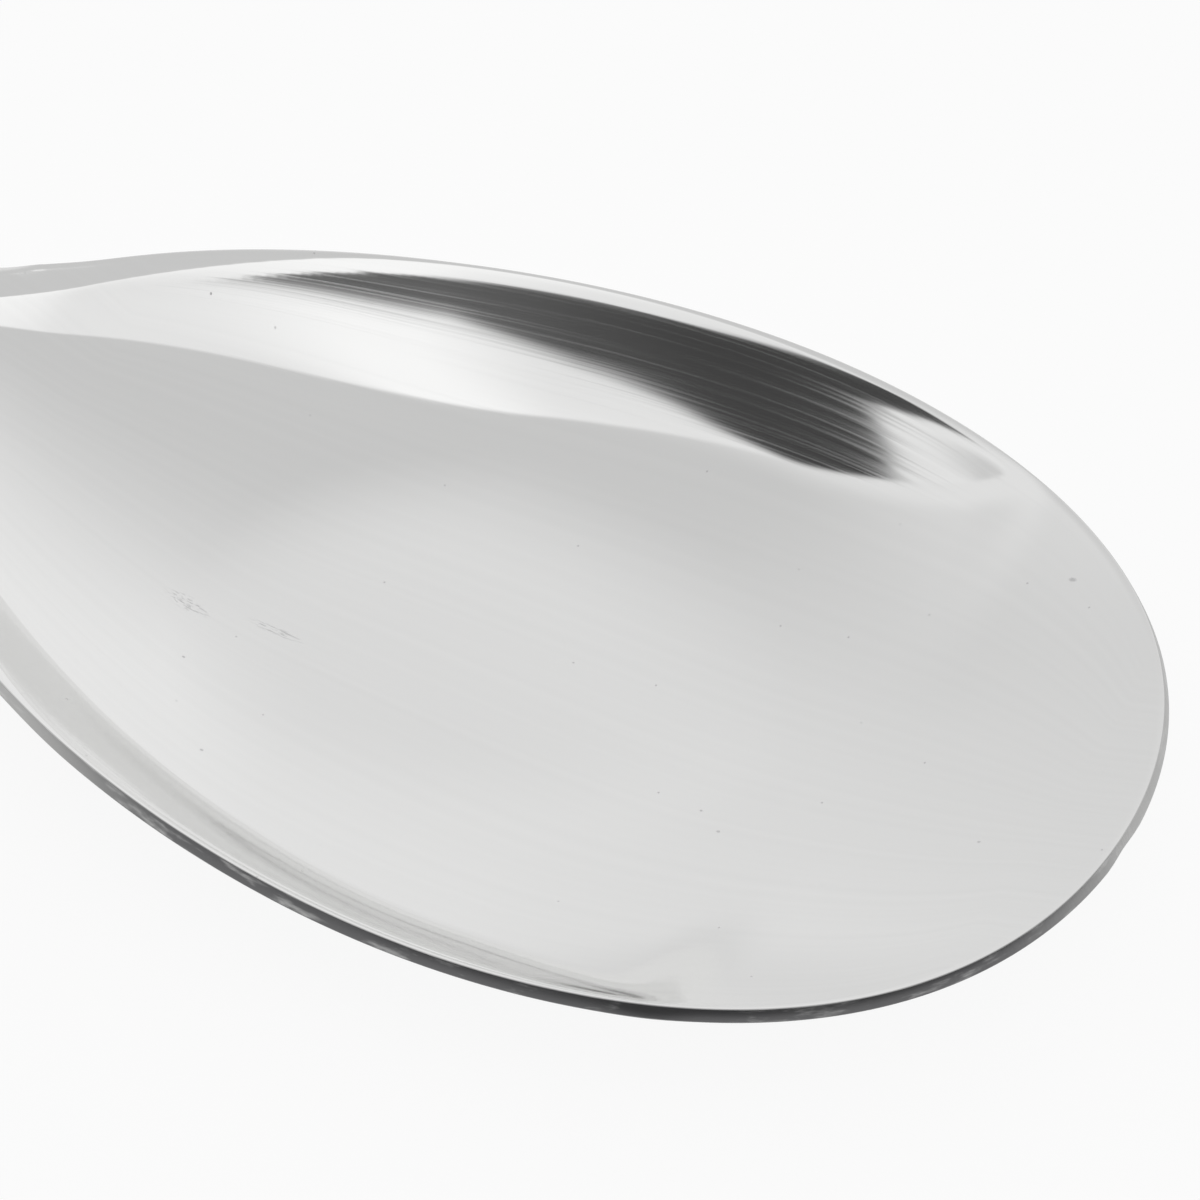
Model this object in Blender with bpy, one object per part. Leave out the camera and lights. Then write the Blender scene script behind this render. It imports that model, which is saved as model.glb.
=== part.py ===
"""Serving spoon: a drawn sheet-steel bowl with a full tang between two riveted grip scales.

Lengths in metres, +X towards the tip of the bowl, +Z up, resting on the flat of the bowl and the butt of the grip.
"""

import math

import bmesh
import bpy
from mathutils import Matrix

MM = 0.001

# Driving sizes of the bowl
SHEET = 1.0 * MM
BOWL_LENGTH = 105.6 * MM
BOWL_WIDTH = 67.5 * MM
BOWL_DEPTH = 9.5 * MM
EGG_TAPER = 0.168
TIP_TAPER = 0.077
EDGE_EASE = 0.28 * MM

# Driving shape of the draw, as shares of the bowl's half length, half width or depth
OVERDRAW = 1.172
DEEPEST = -0.15
TIP_POWER = 2.24
HEEL_REACH = 1.175
DISH_SLOPE = 0.36
WALL_SLOPE = 0.36
WALL_SWELL = 1.3
WALL_BEND = 0.12
HEEL_FOOT = 0.65
SIDE_FOOT = 0.745
TIP_FOOT = 1.425
WALL_END = 0.955
WALL_FADE = 0.12
LIP_FOOT = 0.91
LIP_BEND = 0.12
LIP_SHARE = 1.2
HEEL_LIP = 0.09

# Driving sizes of the neck
NECK_WIDTH = 12.7 * MM
NECK_FLARE = 0.6
NECK_FADE = 0.32
NECK_OVERLAP = 5.0 * MM
GUTTER_DEPTH = 1.5 * MM
RISE_ANGLE = math.radians(20.0)
RISE_RADIUS = 60.0 * MM
RISE_RUN = 12.0 * MM
CREST_RADIUS = 105.0 * MM
NECK_STRAIGHT = 4.0 * MM

# Driving sizes of the grip
GRIP_LENGTH = 135.0 * MM
GRIP_FRONT_WIDTH = 17.0 * MM
GRIP_BUTT_WIDTH = 25.0 * MM
SCALE_THICKNESS = 6.5 * MM
SCALE_ROUND = 3.0 * MM
NOSE_LENGTH = 6.0 * MM
FIT = 0.3 * MM

# Driving sizes of the rivets and the eyelet
RIVET_PLACES = {"front": 0.12, "middle": 0.42, "rear": 0.72}
RIVET_HEAD_RADIUS = 4.0 * MM
RIVET_HEAD = 1.2 * MM
RIVET_DOME = 0.3 * MM
CUP_RADIUS = 2.6 * MM
CUP_WALL = 0.8 * MM
EYELET_BORE = 4.5 * MM
EYELET_WALL = 0.8 * MM
EYELET_FLANGE = 7.0 * MM
FLANGE_THICKNESS = 0.8 * MM
EYELET_ROLL = 0.6 * MM
TURNS = 32

# Worked-out sizes
HALF_LENGTH = BOWL_LENGTH / 2
HALF_WIDTH = BOWL_WIDTH / 2
RIM_TOP = SHEET + BOWL_DEPTH
DRAW_DEPTH = OVERDRAW * BOWL_DEPTH
FLAT_BLEND = 0.115 * BOWL_DEPTH
NECK_START = HALF_LENGTH - NECK_OVERLAP
OUTER_FACE = SHEET / 2 + FIT + SCALE_THICKNESS
BUTT_RADIUS = GRIP_BUTT_WIDTH / 2
EYELET_PLACE = GRIP_LENGTH - BUTT_RADIUS
CUP_BORE = CUP_RADIUS - CUP_WALL
PIN_RADIUS = CUP_BORE - FIT


def butt_height(slope):
    """Height of the butt's lowest rounded edge above the table when the grip falls at this slope."""
    crest = RIM_TOP + RISE_RADIUS * (1 - math.cos(RISE_ANGLE)) + RISE_RUN * math.sin(RISE_ANGLE)
    crest += CREST_RADIUS * (math.cos(slope) - math.cos(RISE_ANGLE))
    drop = (NECK_STRAIGHT + GRIP_LENGTH - SCALE_ROUND) * math.sin(slope)
    return crest - drop - (OUTER_FACE + SHEET / 2 - SCALE_ROUND) * math.cos(slope) - SCALE_ROUND


def resting_slope():
    """The slope of the grip at which its butt just reaches the table."""
    low = -RISE_ANGLE
    high = math.pi / 3
    for _ in range(60):
        middle = (low + high) / 2
        if butt_height(middle) > 0:
            low = middle
        else:
            high = middle
    return low


GRIP_SLOPE = resting_slope()
RISE_ARC = RISE_RADIUS * RISE_ANGLE
CREST_ARC = CREST_RADIUS * (RISE_ANGLE + GRIP_SLOPE)
GRIP_START = NECK_START + RISE_ARC + RISE_RUN + CREST_ARC + NECK_STRAIGHT


def smooth(value):
    """Ease from 0 to 1 with level ends."""
    value = min(max(value, 0.0), 1.0)
    return value * value * (3 - 2 * value)


def path(station):
    """Place and lean of the sheet's top face at a developed distance from the middle of the bowl."""
    left = -station - NECK_START
    if left <= 0:
        return station, RIM_TOP, 0.0
    turn = min(left, RISE_ARC) / RISE_RADIUS
    x = -NECK_START - RISE_RADIUS * math.sin(turn)
    z = RIM_TOP + RISE_RADIUS * (1 - math.cos(turn))
    left -= RISE_ARC
    if left <= 0:
        return x, z, turn
    run = min(left, RISE_RUN)
    x -= run * math.cos(RISE_ANGLE)
    z += run * math.sin(RISE_ANGLE)
    left -= RISE_RUN
    if left <= 0:
        return x, z, RISE_ANGLE
    lean = RISE_ANGLE - min(left, CREST_ARC) / CREST_RADIUS
    x -= CREST_RADIUS * (math.sin(RISE_ANGLE) - math.sin(lean))
    z += CREST_RADIUS * (math.cos(lean) - math.cos(RISE_ANGLE))
    left = max(left - CREST_ARC, 0.0)
    return x - left * math.cos(lean), z + left * math.sin(lean), lean


def grip_body_width(along):
    """Width of the grip at a distance behind its front end, without the round butt."""
    return GRIP_FRONT_WIDTH + (GRIP_BUTT_WIDTH - GRIP_FRONT_WIDTH) * smooth(along / GRIP_LENGTH)


def grip_half_width(along):
    """Half width of the grip at a distance behind its front end, with a round butt."""
    past = max(0.0, (along - EYELET_PLACE) / BUTT_RADIUS)
    return grip_body_width(along) / 2 * math.sqrt(max(0.0, 1 - past * past))


def egg_taper(share):
    """How much wider the egg is than an ellipse at a share of its half length."""
    return 1 + EGG_TAPER * share + TIP_TAPER * share**5


def blank_half_width(station):
    """Half width of the flat outline: an egg that runs into the neck, then into the tang."""
    along = -station - GRIP_START
    if along >= 0:
        return grip_half_width(along)
    share = min(max(station / HALF_LENGTH, -1.0), 1.0)
    egg = HALF_WIDTH * math.sqrt(1 - share * share) * egg_taper(share)
    widening = smooth(1 + along / (0.35 * (GRIP_START - HALF_LENGTH)))
    flare = 1 + NECK_FLARE * math.exp(min((station / HALF_LENGTH + 1) / NECK_FADE, 3.0))
    neck = (NECK_WIDTH * flare + (GRIP_FRONT_WIDTH - NECK_WIDTH) * widening) / 2
    neck /= 1 + math.exp(min((station / HALF_LENGTH + 0.827) / 0.033, 50.0))
    return (egg**5 + neck**5) ** (1 / 5)


def wall_foot(share):
    """Where the side starts to climb, as a share of the half width: nearer the rim towards the tip."""
    ahead = max(share - 0.2, 0.0) / 0.8
    foot = HEEL_FOOT + (SIDE_FOOT - HEEL_FOOT) * smooth(0.75 + 1.35 * share)
    return foot + (TIP_FOOT - SIDE_FOOT) * ahead * ahead


def ramp(value, start, bend):
    """Height gained along a slope that comes in smoothly over the bend."""
    share = min(max((value - start) / bend, 0.0), 1.0)
    return bend * (share**3 - share**4 / 2) + max(value - start - bend, 0.0)


def draw_rise(across, foot):
    """Rise across the drawn bowl: a dished floor, a steep side and a flared lip."""
    climb = max(across - foot, 0.0)
    wall = WALL_SLOPE * ramp(across, foot, WALL_BEND) + WALL_SWELL * climb * climb / 2
    steepest = WALL_SLOPE * smooth((LIP_FOOT - foot) / WALL_BEND) + WALL_SWELL * max(LIP_FOOT - foot, 0.0)
    lip = LIP_SHARE * steepest * ramp(across, LIP_FOOT, LIP_BEND)
    return DISH_SLOPE * across * across / 2 + smooth((WALL_END - foot) / WALL_FADE) * (wall - lip)


def bowl_sink(station, side):
    """How far the drawn bowl lies below the rim line, with a flat pressed in its floor to stand on."""
    share = station / HALF_LENGTH
    lip = HEEL_LIP * HALF_WIDTH * smooth((-share - 0.35) / 0.65)
    across = min(abs(side) / max(blank_half_width(station) - lip, 0.01 * MM), 1.3)
    foot = wall_foot(share)
    ahead = min(max((share - DEEPEST) / (1 - DEEPEST), 0.0), 1.0)
    back = smooth((DEEPEST - share) / (DEEPEST + HEEL_REACH))
    depth = DRAW_DEPTH * (1 - ahead**TIP_POWER - back) * (1 - draw_rise(across, foot) / draw_rise(1.0, foot))
    over = min(max((BOWL_DEPTH + FLAT_BLEND - depth) / (2 * FLAT_BLEND), 0.0), 1.0)
    return BOWL_DEPTH + (depth - BOWL_DEPTH) * over - FLAT_BLEND * over * (1 - over)


def sink(station, side):
    """How far the drawn bowl and the neck's gutter lie below the rim line."""
    behind = -station - 0.8 * HALF_LENGTH
    length = GRIP_START - 0.8 * HALF_LENGTH
    channel = smooth(behind / (0.35 * length)) * smooth((0.92 * length - behind) / (0.4 * length))
    reach = side / max(blank_half_width(station), SHEET)
    return bowl_sink(station, side) + GUTTER_DEPTH * channel * max(0.0, 1 - reach * reach) ** 2


def sheet_point(station, side):
    """A point of the sheet's top face."""
    x, z, lean = path(station)
    drop = sink(station, side)
    return x - drop * math.sin(lean), side, z - drop * math.cos(lean)


def new_object(name, bm, colour, metallic, roughness):
    """A named object with a material of its own, made from a finished bmesh."""
    mesh = bpy.data.meshes.new(name)
    bm.to_mesh(mesh)
    bm.free()
    material = bpy.data.materials.new(name + "_finish")
    material.use_nodes = True
    shader = material.node_tree.nodes["Principled BSDF"]
    shader.inputs["Base Color"].default_value = (*colour, 1.0)
    shader.inputs["Metallic"].default_value = metallic
    shader.inputs["Roughness"].default_value = roughness
    mesh.materials.append(material)
    made = bpy.data.objects.new(name, mesh)
    bpy.context.scene.collection.objects.link(made)
    return made


def disc(along, across):
    """Where a point of a square lands when the square is rounded to a disc."""
    return along * math.sqrt(1 - across * across / 2), across * math.sqrt(1 - along * along / 2)


def blank_rows():
    """Cross rows of the sheet as developed distance and side, from the tip to the butt."""
    columns = [math.copysign(abs(j / 11) ** 0.62, j) for j in range(-11, 12)]
    rows = []
    for i in range(16, 0, -1):
        places = [disc(math.sin(math.pi / 2 * i / 16), across) for across in columns]
        rows.append([(HALF_LENGTH * u, HALF_WIDTH * v * egg_taper(u)) for u, v in places])
    heel = 0.82 * HALF_LENGTH
    throat = 1.15 * HALF_LENGTH
    straight = [-heel * i / 14 for i in range(14)]
    straight += [-heel - (throat - heel) * i / 9 for i in range(9)]
    straight += [-throat - (GRIP_START - throat) * i / 12 for i in range(12)]
    straight += [-GRIP_START - EYELET_PLACE * i / 6 for i in range(7)]
    for station in straight:
        rows.append([(station, across * blank_half_width(station)) for across in columns])
    for i in range(1, 8):
        places = [disc(math.sin(math.pi / 2 * i / 7), across) for across in columns]
        alongs = [(EYELET_PLACE + BUTT_RADIUS * u, v) for u, v in places]
        rows.append([(-GRIP_START - along, v * grip_body_width(along) / 2) for along, v in alongs])
    return rows


def blank_mesh():
    """The top face of the pressed sheet."""
    bm = bmesh.new()
    rows = [[bm.verts.new(sheet_point(*place)) for place in row] for row in blank_rows()]
    for ahead, behind in zip(rows, rows[1:]):
        for j in range(len(ahead) - 1):
            bm.faces.new((ahead[j], ahead[j + 1], behind[j + 1], behind[j]))
    return bm


def scale_mesh(side):
    """A grip half: the outline pulled out from the tang, with a rounded outer edge."""
    nose = [NOSE_LENGTH * (1 - math.cos(math.pi / 2 * i / 8)) for i in range(8)]
    body = [NOSE_LENGTH + (EYELET_PLACE - NOSE_LENGTH) * i / 16 for i in range(16)]
    butt = [EYELET_PLACE + BUTT_RADIUS * math.sin(math.pi / 2 * i / 10) for i in range(11)]
    edge = []
    for along in nose + body + butt:
        cut = max(0.0, 1 - along / NOSE_LENGTH)
        edge.append((-along, grip_half_width(along) * math.sqrt(1 - cut * cut)))
    outline = edge + [(x, -y) for x, y in edge[-2:0:-1]]
    bm = bmesh.new()
    seat = bm.faces.new([bm.verts.new((x, y, side * (SHEET / 2 + FIT))) for x, y in outline])
    grown = bmesh.ops.extrude_face_region(bm, geom=[seat], use_keep_orig=True)["geom"]
    moved = [item for item in grown if isinstance(item, bmesh.types.BMVert)]
    bmesh.ops.translate(bm, verts=moved, vec=(0, 0, side * SCALE_THICKNESS))
    outer = {vert for vert in moved}
    rim = [e for e in bm.edges if e.verts[0] in outer and e.verts[1] in outer]
    bmesh.ops.bevel(bm, geom=rim, offset=SCALE_ROUND, segments=4, profile=0.5, affect="EDGES")
    bmesh.ops.recalc_face_normals(bm, faces=bm.faces)
    return bm


def lathe(bm, profile, x):
    """Turn a closed outline of radius and height about an upright axis."""
    verts = [bm.verts.new((x + radius, 0, height)) for radius, height in profile]
    edges = [bm.edges.new(pair) for pair in zip(verts, verts[1:] + verts[:1])]
    turned = [edge for edge in edges if max(abs(v.co.x - x) for v in edge.verts) > 1e-9]
    bmesh.ops.spin(
        bm,
        geom=verts + turned,
        cent=(x, 0, 0),
        axis=(0, 0, 1),
        angle=2 * math.pi,
        steps=TURNS,
        use_merge=True,
    )
    bmesh.ops.remove_doubles(bm, verts=bm.verts, dist=1e-7)
    loose = [edge for edge in bm.edges if not edge.link_faces]
    bmesh.ops.delete(bm, geom=loose, context="EDGES")
    bmesh.ops.recalc_face_normals(bm, faces=bm.faces)


def dome(side):
    """A low domed rivet head from its middle to its edge."""
    points = []
    for i in range(5):
        radius = RIVET_HEAD_RADIUS * i / 4
        points.append((radius, side * (OUTER_FACE + RIVET_DOME * (1 - (i / 4) ** 2))))
    return points


def add_to_grip(made, frame):
    """Place a piece that was drawn in the grip's own axes."""
    made.matrix_world = frame
    return made


def main():
    for old in list(bpy.data.objects):
        bpy.data.objects.remove(old, do_unlink=True)

    steel = (0.62, 0.62, 0.61)
    black = (0.02, 0.02, 0.022)
    x, z, lean = path(-GRIP_START)
    front = (x - SHEET / 2 * math.sin(lean), 0, z - SHEET / 2 * math.cos(lean))
    frame = Matrix.Translation(front) @ Matrix.Rotation(lean, 4, "Y")

    # Bowl, neck and tang
    blank = new_object("spoon_blank", blank_mesh(), steel, 1.0, 0.22)
    thicken = blank.modifiers.new("sheet", "SOLIDIFY")
    thicken.thickness = SHEET
    thicken.offset = -1.0
    thicken.use_even_offset = True
    ease = blank.modifiers.new("eased_edge", "BEVEL")
    ease.width = EDGE_EASE
    ease.segments = 2
    ease.limit_method = "ANGLE"
    ease.angle_limit = math.radians(60.0)
    ease.use_clamp_overlap = False

    # Grip scales
    upper = add_to_grip(new_object("upper_scale", scale_mesh(1), black, 0.0, 0.4), frame)
    lower = add_to_grip(new_object("lower_scale", scale_mesh(-1), black, 0.0, 0.4), frame)

    # Stepped holes through the scales and the tang
    bm = bmesh.new()
    floor = OUTER_FACE - RIVET_HEAD - FIT
    above = OUTER_FACE + 1 * MM
    for share in RIVET_PLACES.values():
        wide = RIVET_HEAD_RADIUS + FIT
        narrow = CUP_RADIUS + FIT
        steps = [(0, -above), (wide, -above), (wide, -floor), (narrow, -floor)]
        lathe(bm, steps + [(r, -h) for r, h in reversed(steps)], -share * GRIP_LENGTH)
    floor = OUTER_FACE - FLANGE_THICKNESS - FIT
    wide = EYELET_FLANGE + FIT
    narrow = EYELET_BORE + EYELET_WALL + FIT
    steps = [(0, -above), (wide, -above), (wide, -floor), (narrow, -floor)]
    lathe(bm, steps + [(r, -h) for r, h in reversed(steps)], -EYELET_PLACE)
    cutter = add_to_grip(new_object("hole_cutter", bm, black, 0.0, 0.5), frame)
    cutter.hide_render = True
    cutter.display_type = "WIRE"
    for piece in (blank, upper, lower):
        cut = piece.modifiers.new("holes", "BOOLEAN")
        cut.operation = "DIFFERENCE"
        cut.solver = "EXACT"
        cut.object = cutter

    # Two-piece rivets
    seat = OUTER_FACE - RIVET_HEAD
    end = seat - FIT
    blind = seat - 1.6 * MM
    for place, share in RIVET_PLACES.items():
        cup = dome(1) + [
            (RIVET_HEAD_RADIUS, seat),
            (CUP_RADIUS, seat),
            (CUP_RADIUS, -end),
            (CUP_BORE, -end),
            (CUP_BORE, blind),
            (0, blind),
        ]
        bm = bmesh.new()
        lathe(bm, cup, -share * GRIP_LENGTH)
        add_to_grip(new_object("rivet_cup_" + place, bm, steel, 1.0, 0.2), frame)
        pin = dome(-1) + [
            (RIVET_HEAD_RADIUS, -seat),
            (PIN_RADIUS, -seat),
            (PIN_RADIUS, blind - FIT),
            (0, blind - FIT),
        ]
        bm = bmesh.new()
        lathe(bm, pin, -share * GRIP_LENGTH)
        add_to_grip(new_object("rivet_pin_" + place, bm, steel, 1.0, 0.2), frame)

    # Hanging eyelet
    inner = EYELET_BORE
    tube = EYELET_BORE + EYELET_WALL
    under = OUTER_FACE - FLANGE_THICKNESS
    mouth = []
    rolled = []
    for i in range(4):
        reach = EYELET_ROLL * (1 - math.cos(math.pi / 2 * i / 3))
        drop = EYELET_ROLL * (1 - math.sin(math.pi / 2 * i / 3))
        mouth.append((inner + reach, OUTER_FACE - drop))
        rolled.append((EYELET_FLANGE - drop, OUTER_FACE - reach))
    flange = mouth + rolled + [(EYELET_FLANGE, under), (tube, under)]
    bm = bmesh.new()
    lathe(bm, flange + [(radius, -height) for radius, height in reversed(flange)], -EYELET_PLACE)
    add_to_grip(new_object("hanging_eyelet", bm, steel, 1.0, 0.2), frame)


main()
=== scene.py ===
"""Looks of the serving spoon.

A pressed steel blank, black grip scales, rivets and an eyelet in a plain studio.
"""

import math

import bmesh
import bpy
import numpy as np
from mathutils import Matrix, Vector


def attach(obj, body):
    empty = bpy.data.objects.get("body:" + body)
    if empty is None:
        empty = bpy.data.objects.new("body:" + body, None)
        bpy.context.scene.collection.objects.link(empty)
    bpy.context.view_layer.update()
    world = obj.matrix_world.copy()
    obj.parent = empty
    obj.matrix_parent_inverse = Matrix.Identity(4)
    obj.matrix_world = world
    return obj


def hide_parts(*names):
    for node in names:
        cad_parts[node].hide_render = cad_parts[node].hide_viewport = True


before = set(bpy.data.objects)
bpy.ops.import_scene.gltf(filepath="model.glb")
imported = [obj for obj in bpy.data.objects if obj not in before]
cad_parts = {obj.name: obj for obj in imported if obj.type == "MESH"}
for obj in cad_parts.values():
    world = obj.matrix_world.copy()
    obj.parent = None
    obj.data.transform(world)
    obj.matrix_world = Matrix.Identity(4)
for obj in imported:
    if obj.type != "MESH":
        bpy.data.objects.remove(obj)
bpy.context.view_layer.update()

MM = 0.001
QUARTER = math.pi / 2
DEGREES = 180 / math.pi
WHITE = (1, 1, 1, 1)

# Sizes of the bowl, as in the CAD source
SHEET = 1.0 * MM
HALF_LENGTH = 52.8 * MM
HALF_WIDTH = 33.75 * MM
BOWL_DEPTH = 9.5 * MM
EGG_TAPER = 0.168
TIP_TAPER = 0.077
TIP_TAPER_POWER = 5
OVERDRAW = 1.172
DEEPEST = -0.15
TIP_POWER = 2.24
HEEL_REACH = 1.175
DISH_SLOPE = 0.36
WALL_SLOPE = 0.36
WALL_SWELL = 1.3
WALL_BEND = 0.12
HEEL_FOOT = 0.650
SIDE_FOOT = 0.745
SIDE_FOOT_SHARE = 0.75
SIDE_FOOT_RATE = 1.35
TIP_FOOT = 1.425
TIP_FOOT_START = 0.2
WALL_END = 0.955
WALL_FADE = 0.12
LIP_SHARE = 1.2
HEEL_LIP = 0.09
HEEL_LIP_START = 0.35
LEAST_WIDTH = 0.01 * MM
ACROSS_LIMIT = 1.3

# The lip turns within a narrower band than in the CAD source, as its reflections in the
# photograph show
LIP_FOOT = 0.955
LIP_BEND = 0.06

# The bowl's sheet is heavier and its cut edge sharper than in the CAD source, as the edge in the
# photograph shows
BOWL_GAIN = 0.13 * MM
EDGE_EASE = 0.12 * MM

# Sizes of the neck, as in the CAD source
NECK_WIDTH = 12.7 * MM
NECK_FLARE = 0.6
NECK_FADE = 0.32
NECK_FLARE_LIMIT = 3.0
NECK_WIDENING = 0.35
NECK_END = 0.827
NECK_END_FADE = 0.033
NECK_END_LIMIT = 50.0
NECK_JOIN_POWER = 5
NECK_START = HALF_LENGTH - 5.0 * MM
GUTTER_DEPTH = 1.5 * MM
GUTTER_START = 0.8 * HALF_LENGTH
GUTTER_RUN_IN = 0.35
GUTTER_END = 0.92
GUTTER_RUN_OUT = 0.4
RISE_ANGLE = math.radians(20.0)
RISE_RADIUS = 60.0 * MM
RISE_RUN = 12.0 * MM
CREST_RADIUS = 105.0 * MM
GRIP_SLOPE = math.radians(6.77939)
NECK_STRAIGHT = 4.0 * MM

# Sizes of the grip, the rivets and the eyelet, as in the CAD source
GRIP_LENGTH = 135.0 * MM
GRIP_FRONT_WIDTH = 17.0 * MM
GRIP_BUTT_WIDTH = 25.0 * MM
SCALE_FACE = 7.3 * MM
SCALE_ROUND = 3.0 * MM
NOSE_LENGTH = 6.0 * MM
RIVET_COUNT = 3
RIVET_FIRST = 0.12 * GRIP_LENGTH
RIVET_PITCH = 0.30 * GRIP_LENGTH
RIVET_HOLE = 4.3 * MM
RIVET_HEAD = 1.2 * MM
RIVET_DOME = 0.3 * MM
RIVET_SHANK = 2.6 * MM
EYELET_BORE = 4.5 * MM
EYELET_TUBE = 5.3 * MM
EYELET_HOLE = 7.3 * MM
FLANGE_THICKNESS = 0.8 * MM
EYELET_ROLL = 0.6 * MM

# Sizes that only the visible pieces have: clearances, eased edges and how fine the meshes are
CLOSE_FIT = 0.08 * MM
RIVET_EASE = 0.25 * MM
FACE_INSET = 0.55 * MM
CUTTER_SPARE = 1.0 * MM
NORMAL_STEP = 0.02 * MM
SLIVER = 0.001 * MM
ON_AXIS = 1e-9
WELD = 1e-7
CROSS_COLUMNS = 101
EDGE_CROWDING = 0.75
PLAN_HEEL = 0.82 * HALF_LENGTH
PLAN_THROAT = 1.15 * HALF_LENGTH
TIP_ROWS = 64
BOWL_ROWS = 56
HEEL_ROWS = 40
NECK_ROWS = 48
TANG_ROWS = 24
BUTT_ROWS = 19
NOSE_STEPS = 24
GRIP_STEPS = 48
BUTT_STEPS = 33
ROUND_STEPS = 9
ROUND_PROFILE = 0.5
DOME_STEPS = 10
ROLL_STEPS = 9
CUTTER_TURNS = 48
RIVET_TURNS = 64
EYELET_TURNS = 96
EDGE_TURNS = (0.0, 30.0, 60.0, 90.0)
SHEET_CREASE = 75
SCALE_CREASE = 35
TURNED_CREASE = 40

# Marks on the metal: where the brushing straightens, and how the nicks of the cut edge lie
BRUSH_NARROWEST = 0.55 * HALF_WIDTH
BANK_SHIFT = 9.0 * MM
NICK_STRETCH = (0.07, 1.0, 1.0)
NICK_STEP = 0.28 * MM
EDGE_DULLNESS = (0.0, 0.2, 0.9, 1.0)

# Finish of the sheet: tones, roughness, and the heights of what the polishing left
SHEET_TONES = ((0.795, 0.795, 0.79, 1), (0.83, 0.83, 0.825, 1))
WORN_TONE = (0.60, 0.60, 0.60, 1)
# The cut edge's dark and light tones, and where it turns from one to the other: painted shade,
# darker at the near side and lighter towards the neck and the far side
CUT_SHADE_TONES = ((0.15, 0.15, 0.153, 1), (0.44, 0.44, 0.435, 1))
EDGE_SHADE_ALONG = (-6.0 * MM, -26.0 * MM)
EDGE_SHADE_ACROSS = (-16.0 * MM, 4.0 * MM)
NICK_TONE = (0.60, 0.60, 0.595, 1)
NICK_FINENESS = 3600.0
NICK_SPREAD = (0.50, 0.74)
NICK_COVER = (0.0, 0.7)
SHEET_STRETCH = (0.004, 1.0, 1.0)
SHEET_FINENESS = 6400.0
NOISE_SPREAD = (0.3, 0.7)
LINE_ROUGHNESS = (0.07, 0.12)
DEEP_LINES = (0.5, 0.8)
DEEP_LINE_ROUGHNESS = (0.0, 0.07)
WORN_ROUGHNESS = 0.25
CUT_ROUGHNESS = 0.26
WAVE_HEIGHT = 0.012 * MM
STREAK_HEIGHT = 0.0005 * MM
LINE_HEIGHT = 0.0009 * MM
STREAK_SHARE = 0.16
WAVE_SCALE = 70.0
SPECK_SCALE = 170.0
SPECK_SIZES = (0.019, 0.010)
SPECK_SHARES = (0.65, 0.9)
SCUFF_FADE = (1.0, 0.3)
SCUFF_TURN = (0, 0, 0.5)
SCUFF_STRETCH = (0.12, 1, 1)
SCUFF_FINENESS = 6500.0
SCUFF_LINES = (0.50, 0.60)

# Scuffs and pits in the bowl: centre, half size and how solid the mark is
SCUFFS = [
    ((-23.7 * MM, -5.9 * MM, 1.6 * MM), (2.6 * MM, 0.9 * MM, 2.0 * MM), 0.0),
    ((-16.6 * MM, -4.5 * MM, 1.0 * MM), (3.0 * MM, 0.5 * MM, 2.0 * MM), 0.0),
    ((37.7 * MM, 22.9 * MM, 9.1 * MM), (0.42 * MM, 0.24 * MM, 3.0 * MM), 1.0),
    ((-14.7 * MM, -18.5 * MM, 2.0 * MM), (0.22 * MM, 0.18 * MM, 3.0 * MM), 1.0),
    ((-21.0 * MM, -10.8 * MM, 1.7 * MM), (0.20 * MM, 0.15 * MM, 3.0 * MM), 1.0),
    ((23.4 * MM, -7.1 * MM, 2.2 * MM), (0.22 * MM, 0.18 * MM, 3.0 * MM), 1.0),
    ((21.1 * MM, -5.5 * MM, 1.7 * MM), (0.18 * MM, 0.15 * MM, 3.0 * MM), 1.0),
    ((42.5 * MM, -2.3 * MM, 6.8 * MM), (0.20 * MM, 0.15 * MM, 3.0 * MM), 1.0),
]

# Finish of the turned steel of the rivets and the eyelet
RIVET_TONE = (0.66, 0.66, 0.655)
RIVET_RINGS = 90.0
EYELET_TONE = (0.62, 0.62, 0.615)
EYELET_RINGS = 140.0
TURNED_LIGHTER = 1.1
TURNED_STRETCH = (1.0, 1.0, 1.0)
TURNED_FINENESS = 2400.0
TURNED_ROUGHNESS = (0.14, 0.26)
RING_ROUGHNESS = 0.03
RING_HEIGHT = 0.002 * MM
TURNED_LINE_HEIGHT = 0.002 * MM

# Finish of the grip's resin
RESIN_TONES = ((0.014, 0.014, 0.015, 1), (0.024, 0.024, 0.025, 1))
FLECK_TONE = (0.06, 0.06, 0.06, 1)
FLECK_SCALE = 900.0
FLECK_SIZES = (0.10, 0.04)
CLOUD_SCALE = 160.0
GRAIN_SCALE = 2600.0
RUBBED_SCALE = 45.0
RESIN_ROUGHNESS = (0.34, 0.48)
GRAIN_ROUGHNESS = 0.08
GRAIN_HEIGHT = 0.012 * MM

# Worked-out sizes
RIM_TOP = SHEET + BOWL_DEPTH
DRAW_DEPTH = OVERDRAW * BOWL_DEPTH
FLAT_BLEND = 0.115 * BOWL_DEPTH
BUTT_RADIUS = GRIP_BUTT_WIDTH / 2
EYELET_PLACE = GRIP_LENGTH - BUTT_RADIUS
RISE_ARC = RISE_RADIUS * RISE_ANGLE
CREST_ARC = CREST_RADIUS * (RISE_ANGLE + GRIP_SLOPE)
GRIP_START = NECK_START + RISE_ARC + RISE_RUN + CREST_ARC + NECK_STRAIGHT
NECK_RUN = GRIP_START - HALF_LENGTH
GUTTER_LENGTH = GRIP_START - GUTTER_START

# The photograph's camera, found by fitting the bowl's outline
VIEW_AZIMUTH = math.radians(28.883)
VIEW_ELEVATION = math.radians(46.611)
VIEW_DISTANCE = 0.5
VIEW_LENS = 199.17
VIEW_NEAREST = 0.01
VIEW_AIM = Vector((7.936 * MM, 2.682 * MM, RIM_TOP))

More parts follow.
